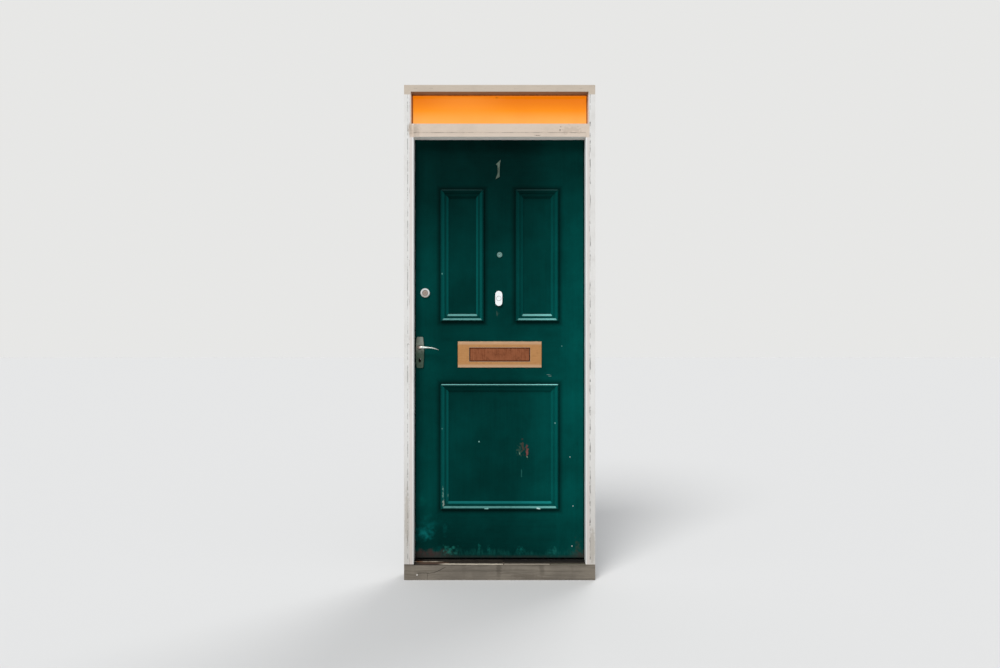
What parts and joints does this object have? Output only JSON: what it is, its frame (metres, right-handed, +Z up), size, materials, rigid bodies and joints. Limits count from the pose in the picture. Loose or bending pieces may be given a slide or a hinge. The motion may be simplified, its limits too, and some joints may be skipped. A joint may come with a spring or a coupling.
{
  "type": "front door with frame",
  "caption": "Panelled timber front door hung in its rebated frame with a fanlight over it, with lever lock, night latch, letter plate, viewer, bell push and a plain numeral",
  "frame": {"origin": "middle of the sill's underside, at half the frame's depth", "axes": "+X right seen from outside, -Y outside, +Z up"},
  "size_m": [0.908, 0.1448, 2.352],
  "materials": {
    "green_paint": "semi-gloss dark green paint on timber",
    "cream_paint": "worn cream gloss paint on timber",
    "brown_putty": "aged putty",
    "weathered_sill": "bare weathered timber",
    "fanlight_pane": "amber obscured glass",
    "hinge_steel": "satin",
    "lock_steel": "plated",
    "worn_brass": "lacquered, worn",
    "dark_brass": "tarnished",
    "bolt_brass": "polished by use",
    "dull_zinc": "dull",
    "satin_lever": "satin",
    "bright_ring": "bright",
    "latch_enamel": "hammered enamel",
    "latch_knob": "satin",
    "viewer_metal": "satin",
    "viewer_glass": "clear",
    "white_plastic": "gloss",
    "numeral_metal": "oxidised"
  },
  "bodies": {
    "frame": {"sill": "weathered_sill", "threshold_strip": "cream_paint", "latch_jamb": "cream_paint", "hinge_jamb": "cream_paint", "transom": "cream_paint", "frame_head": "cream_paint", "fanlight_glass": "fanlight_pane", "glazing_putty": "brown_putty", "strike_plate": "lock_steel", "latch_keep": "latch_enamel", "frame_hinge_top": "hinge_steel", "frame_hinge_middle": "hinge_steel", "frame_hinge_bottom": "hinge_steel"},
    "leaf": {"hinge_stile": "green_paint", "lock_stile": "green_paint", "top_rail": "green_paint", "lock_rail": "green_paint", "bottom_rail": "green_paint", "muntin": "green_paint", "upper_left_panel": "green_paint", "upper_right_panel": "green_paint", "lower_panel": "green_paint", "upper_left_moulding": "green_paint", "upper_right_moulding": "green_paint", "lower_moulding": "green_paint", "upper_left_inner_bead": "green_paint", "upper_right_inner_bead": "green_paint", "lower_inner_bead": "green_paint", "leaf_hinge_top": "hinge_steel", "leaf_hinge_middle": "hinge_steel", "leaf_hinge_bottom": "hinge_steel", "lock_case": "lock_steel", "outer_backplate": "dull_zinc", "inner_backplate": "dull_zinc", "letter_plate": "worn_brass", "letter_bolts": "worn_brass", "inner_letter_frame": "worn_brass", "viewer_barrel": "viewer_metal", "viewer_lens": "viewer_glass", "viewer_nut": "viewer_metal", "bell_base": "white_plastic", "numeral_one": "numeral_metal", "cylinder_ring": "bright_ring", "cylinder_body": "bolt_brass", "night_latch_case": "latch_enamel"},
    "lever": {"lock_follower": "lock_steel", "lever_spindle": "lock_steel", "outer_lever": "satin_lever", "inner_lever": "satin_lever"},
    "latch": {"latch_bolt": "bolt_brass"},
    "deadlock": {"dead_bolt": "bolt_brass"},
    "flap": {"letter_flap": "dark_brass"},
    "bell_push": {"bell_button": "white_plastic"},
    "plug": {"cylinder_plug": "bolt_brass"},
    "knob": {"night_latch_knob": "latch_knob"},
    "night_bolt": {"night_latch_bolt": "bolt_brass"},
    "snib": {"night_latch_snib": "latch_knob"}
  },
  "joints": [
    {"name": "leaf_swing", "type": "hinge", "parent": "frame", "child": "leaf", "pos_m": [0.4205, 0.0535, 1.1115], "axis": [0, 0, -1], "range_deg": [0, 100]},
    {"name": "lever_turn", "type": "hinge", "parent": "leaf", "child": "lever", "pos_m": [-0.384, 0.0255, 1.104], "axis": [0, 1, 0], "range_deg": [0, 40], "stiffness_Nm_per_rad": 1, "springref_deg": -22.92},
    {"name": "latch_slide", "type": "slide", "parent": "leaf", "child": "latch", "axis": [1, 0, 0], "range_m": [0, 0.012]},
    {"name": "dead_bolt_slide", "type": "slide", "parent": "leaf", "child": "deadlock", "axis": [-1, 0, 0], "range_m": [0, 0.014]},
    {"name": "flap_swing", "type": "hinge", "parent": "leaf", "child": "flap", "pos_m": [0, 0.003, 1.1015], "axis": [1, 0, 0], "range_deg": [0, 70], "stiffness_Nm_per_rad": 0.08, "springref_deg": -22.92},
    {"name": "button_press", "type": "slide", "parent": "leaf", "child": "bell_push", "axis": [0, 1, 0], "range_m": [0, 0.0015], "stiffness_N_per_m": 600, "springref_m": -0.001},
    {"name": "plug_turn", "type": "hinge", "parent": "leaf", "child": "plug", "pos_m": [-0.359, 0.0255, 1.367], "axis": [0, 1, 0], "range_deg": [0, 90]},
    {"name": "knob_turn", "type": "hinge", "parent": "leaf", "child": "knob", "pos_m": [-0.359, 0.07, 1.367], "axis": [0, 1, 0], "range_deg": [0, 60]},
    {"name": "night_bolt_slide", "type": "slide", "parent": "leaf", "child": "night_bolt", "axis": [1, 0, 0], "range_m": [0, 0.013], "stiffness_N_per_m": 400, "springref_m": -0.01},
    {"name": "snib_slide", "type": "slide", "parent": "leaf", "child": "snib", "axis": [1, 0, 0], "range_m": [0, 0.006]}
  ],
  "couplings": [
    {"joint": "latch_slide", "follows": "lever_turn", "m_per_rad": 0.0171},
    {"joint": "knob_turn", "follows": "night_bolt_slide", "rad_per_m": 80.5}
  ]
}
